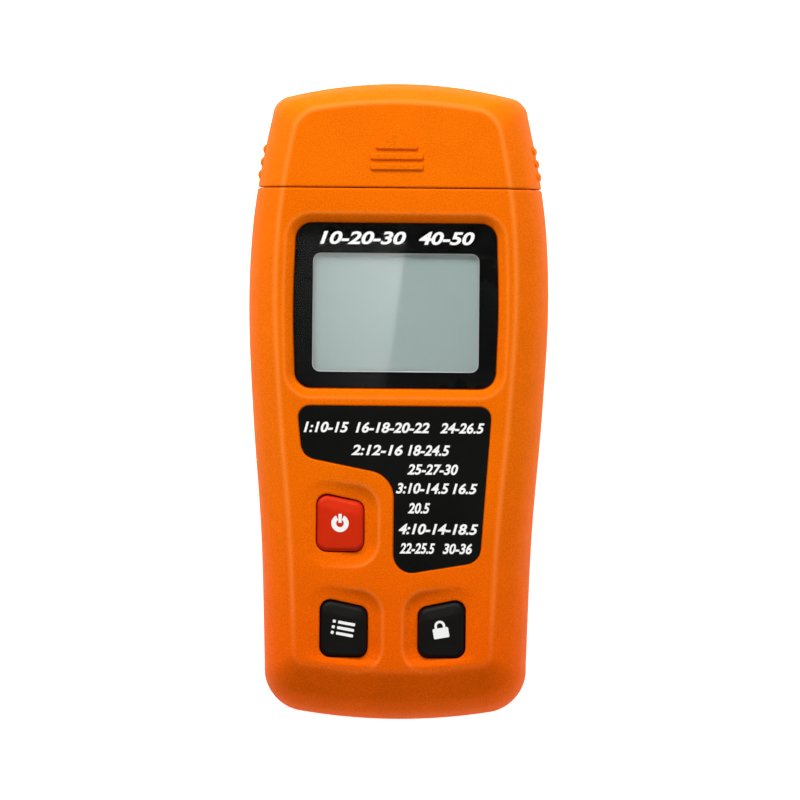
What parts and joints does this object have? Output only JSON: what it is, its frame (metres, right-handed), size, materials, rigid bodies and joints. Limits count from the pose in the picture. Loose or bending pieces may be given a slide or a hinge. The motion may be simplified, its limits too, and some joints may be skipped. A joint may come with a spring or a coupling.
{
  "type": "moisture meter",
  "caption": "Pocket two-pin moisture meter: waisted moulded case with display, stepped label, three keys, pull-off pin cap and sliding battery door.",
  "frame": {"origin": "under the middle of the case on its flat back, the meter lying on its back", "axes": "+Z out of the display face, +Y along the case towards the cap and pins, +X to the right of the display"},
  "size_m": [0.061, 0.13, 0.0304],
  "materials": {
    "case_orange": "satin",
    "cap_orange": "satin",
    "key_red": "satin",
    "key_black": "satin",
    "label_black": "satin",
    "mask_black": "satin",
    "lens_clear": "gloss",
    "lcd_grey": "gloss",
    "backlight_white": "satin",
    "elastomer": "matte",
    "inner_black": "satin",
    "plunger_white": "satin",
    "board_green": "satin",
    "chip_black": "matte",
    "tin_can": "satin",
    "capacitor_sleeve": "gloss",
    "pin_steel": "polished",
    "nut_brass": "satin",
    "lead_white": "satin",
    "lead_red": "satin",
    "lead_black": "satin",
    "battery_wrap": "satin",
    "screw_steel": "satin"
  },
  "bodies": {
    "housing": {"front_case": "case_orange", "rear_case": "case_orange", "display_lens": "lens_clear", "lens_mask": "mask_black", "lcd_panel": "lcd_grey", "backlight_panel": "backlight_white", "zebra_strip_upper": "elastomer", "zebra_strip_lower": "elastomer", "species_label": "label_black", "switch_body_power": "inner_black", "switch_body_mode": "inner_black", "switch_body_hold": "inner_black", "main_board": "board_green", "controller_chip": "chip_black", "amplifier_chip": "chip_black", "crystal": "tin_can", "filter_capacitor": "capacitor_sleeve", "pin_block": "inner_black", "probe_pin_left": "pin_steel", "probe_pin_right": "pin_steel", "pin_nut_left": "nut_brass", "pin_nut_right": "nut_brass", "pin_lead_left": "lead_white", "pin_lead_right": "lead_white", "battery": "battery_wrap", "battery_terminal_positive": "tin_can", "battery_terminal_negative": "tin_can", "battery_snap": "inner_black", "battery_lead_red": "lead_red", "battery_lead_black": "lead_black", "case_screw_1": "screw_steel", "case_screw_2": "screw_steel", "case_screw_3": "screw_steel", "case_screw_4": "screw_steel", "board_screw_1": "screw_steel", "board_screw_2": "screw_steel", "board_screw_3": "screw_steel", "board_screw_4": "screw_steel"},
    "cap": {"protective_cap": "cap_orange"},
    "door": {"battery_door": "case_orange"},
    "power_button": {"power_key": "key_red"},
    "mode_button": {"mode_key": "key_black"},
    "hold_button": {"hold_key": "key_black"},
    "power_plunger": {"switch_plunger_power": "plunger_white"},
    "mode_plunger": {"switch_plunger_mode": "plunger_white"},
    "hold_plunger": {"switch_plunger_hold": "plunger_white"}
  },
  "joints": [
    {"name": "cap_slide", "type": "slide", "parent": "housing", "child": "cap", "axis": [0, 1, 0], "range_m": [0, 0.04]},
    {"name": "door_slide", "type": "slide", "parent": "housing", "child": "door", "axis": [0, -1, 0], "range_m": [0, 0.06]},
    {"name": "power_press", "type": "slide", "parent": "housing", "child": "power_button", "axis": [0, 0, -1], "range_m": [0, 0.0006], "stiffness_N_per_m": 2500},
    {"name": "mode_press", "type": "slide", "parent": "housing", "child": "mode_button", "axis": [0, 0, -1], "range_m": [0, 0.0006], "stiffness_N_per_m": 2500},
    {"name": "hold_press", "type": "slide", "parent": "housing", "child": "hold_button", "axis": [0, 0, -1], "range_m": [0, 0.0006], "stiffness_N_per_m": 2500},
    {"name": "power_plunger_press", "type": "slide", "parent": "housing", "child": "power_plunger", "axis": [0, 0, -1], "range_m": [0, 0.0005]},
    {"name": "mode_plunger_press", "type": "slide", "parent": "housing", "child": "mode_plunger", "axis": [0, 0, -1], "range_m": [0, 0.0005]},
    {"name": "hold_plunger_press", "type": "slide", "parent": "housing", "child": "hold_plunger", "axis": [0, 0, -1], "range_m": [0, 0.0005]}
  ],
  "couplings": [
    {"joint": "power_plunger_press", "follows": "power_press", "ratio": 0.8},
    {"joint": "mode_plunger_press", "follows": "mode_press", "ratio": 0.8},
    {"joint": "hold_plunger_press", "follows": "hold_press", "ratio": 0.8}
  ]
}
